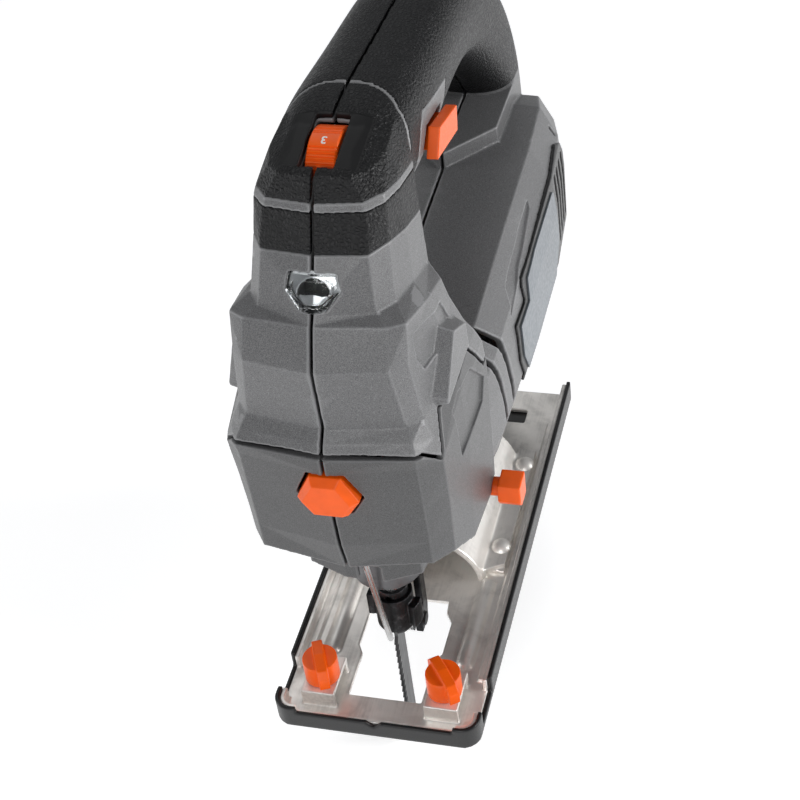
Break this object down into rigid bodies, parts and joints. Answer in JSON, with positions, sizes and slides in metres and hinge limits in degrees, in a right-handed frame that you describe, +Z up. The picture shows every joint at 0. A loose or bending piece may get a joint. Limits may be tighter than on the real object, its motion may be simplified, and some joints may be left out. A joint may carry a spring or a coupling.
{
  "type": "jigsaw",
  "caption": "Corded D-handle jigsaw with a tilting stamped base, orbital guide roller, quick blade clamp, speed dial and lamp.",
  "frame": {"origin": "where the blade line meets the sole plane", "axes": "+Z up out of the work, -Y the cutting direction at the front, +X the tool's left side"},
  "size_m": [0.0744, 0.2172, 0.2418],
  "materials": {
    "housing_grey": "fine speckled satin moulded plastic",
    "cover_grey": "fine speckled satin moulded plastic, darker",
    "grip_rubber": "soft rubber with leather grain",
    "orange_plastic": "bright orange moulded plastic",
    "black_plastic": "black moulded plastic",
    "label_grey": "blank printed plate",
    "clear_lens": "clear polycarbonate",
    "reflector": "bright reflector",
    "circuit": "circuit board",
    "cast_alloy": "die cast",
    "bright_steel": "stamped zinc plated sheet",
    "dark_steel": "black oxide",
    "hard_steel": "ground steel",
    "blade_steel": "tool steel",
    "laminate": "laminated electrical steel",
    "copper": "enamelled copper winding",
    "brass": "brass",
    "carbon": "carbon brush",
    "felt": "felt seal",
    "fan_plastic": "glass filled nylon"
  },
  "bodies": {
    "base": {"base_shoe": "black_plastic", "base_plate": "bright_steel", "base_bracket": "bright_steel", "rivets": "bright_steel"},
    "tool": {"housing_left": "housing_grey", "housing_right": "housing_grey", "grip_left": "grip_rubber", "grip_right": "grip_rubber", "nose_cap_left": "grip_rubber", "nose_cap_right": "grip_rubber", "lower_cover_left": "cover_grey", "lower_cover_right": "cover_grey", "lamp_lens": "clear_lens", "lamp_reflector": "reflector", "lamp_board": "circuit", "dial_carrier": "circuit", "switch_body": "black_plastic", "gear_case": "cast_alloy", "plunger_bushes": "brass", "plunger_seal": "felt", "gear_axle": "hard_steel", "fork_pin": "hard_steel", "wire_guard": "hard_steel", "foot": "cast_alloy", "bevel_clamp": "hard_steel", "bevel_screw": "hard_steel", "stator_core": "laminate", "field_coils": "copper", "shaft_bearings": "hard_steel", "brush_holders": "brass", "brushes": "carbon", "side_panels": "black_plastic", "label_plates": "label_grey", "cord_gland": "black_plastic", "dust_port": "black_plastic", "case_screws": "hard_steel"},
    "trigger": {"trigger": "black_plastic"},
    "lock_button": {"lock_button": "orange_plastic"},
    "speed_dial": {"speed_dial": "orange_plastic"},
    "light_button": {"light_button": "orange_plastic"},
    "pendulum_lever": {"pendulum_lever": "orange_plastic"},
    "armature": {"armature_shaft": "hard_steel", "pinion": "hard_steel", "armature_core": "laminate", "armature_coils": "copper", "commutator": "copper", "fan": "fan_plastic"},
    "drive_gear": {"drive_gear": "hard_steel"},
    "plunger": {"plunger": "hard_steel", "yoke": "hard_steel", "blade_holder": "dark_steel", "blade": "blade_steel"},
    "clamp_collar": {"clamp_collar": "dark_steel"},
    "guide_fork": {"guide_fork": "dark_steel"},
    "guide_roller": {"guide_roller": "hard_steel"},
    "fence_knob_left": {"fence_knob_left": "orange_plastic", "fence_screw_left": "hard_steel"},
    "fence_knob_right": {"fence_knob_right": "orange_plastic", "fence_screw_right": "hard_steel"}
  },
  "joints": [
    {"name": "base_bevel", "type": "hinge", "parent": "base", "child": "tool", "pos_m": [0, 0, 0], "axis": [0, 1, 0], "range_deg": [-45, 45]},
    {"name": "trigger_press", "type": "slide", "parent": "tool", "child": "trigger", "axis": [0, 0, 1], "range_m": [0, 0.005], "stiffness_N_per_m": 600, "springref_m": -0.002},
    {"name": "lock_press", "type": "slide", "parent": "tool", "child": "lock_button", "axis": [-1, 0, 0], "range_m": [0, 0.0025], "stiffness_N_per_m": 400, "springref_m": -0.002},
    {"name": "dial_turn", "type": "hinge", "parent": "tool", "child": "speed_dial", "pos_m": [0, 0.006, 0.1836], "axis": [1, 0, 0], "range_deg": [-110, 140]},
    {"name": "light_press", "type": "slide", "parent": "tool", "child": "light_button", "axis": [0, 1, 0], "range_m": [0, 0.0013], "stiffness_N_per_m": 400, "springref_m": -0.001},
    {"name": "pendulum_select", "type": "hinge", "parent": "tool", "child": "pendulum_lever", "pos_m": [0.03, 0.02, 0.0605], "axis": [1, 0, 0], "range_deg": [0, 90]},
    {"name": "armature_spin", "type": "hinge", "parent": "tool", "child": "armature", "pos_m": [0, 0.07, 0.086], "axis": [0, 1, 0], "continuous": true},
    {"name": "gear_spin", "type": "hinge", "parent": "tool", "child": "drive_gear", "pos_m": [0, 0.014, 0.1092], "axis": [0, 1, 0], "continuous": true},
    {"name": "plunger_stroke", "type": "slide", "parent": "tool", "child": "plunger", "axis": [0, 0, 1], "range_m": [0, 0.02]},
    {"name": "clamp_turn", "type": "hinge", "parent": "plunger", "child": "clamp_collar", "pos_m": [0, 0, 0.023], "axis": [0, 0, 1], "range_deg": [0, 30], "stiffness_Nm_per_rad": 0.05, "springref_deg": -17.19},
    {"name": "fork_swing", "type": "hinge", "parent": "tool", "child": "guide_fork", "pos_m": [0, 0.0115, 0.0595], "axis": [1, 0, 0], "range_deg": [0, 2.5]},
    {"name": "roller_spin", "type": "hinge", "parent": "guide_fork", "child": "guide_roller", "pos_m": [0, 0.00765, 0.0086], "axis": [1, 0, 0], "continuous": true},
    {"name": "knob_left_turn", "type": "hinge", "parent": "base", "child": "fence_knob_left", "pos_m": [0.0201, -0.021, 0.012], "axis": [0, 0, 1], "range_deg": [-180, 180]},
    {"name": "knob_right_turn", "type": "hinge", "parent": "base", "child": "fence_knob_right", "pos_m": [-0.0201, -0.021, 0.012], "axis": [0, 0, 1], "range_deg": [-180, 180]}
  ],
  "couplings": [
    {"joint": "gear_spin", "follows": "armature_spin", "ratio": -0.20833}
  ]
}
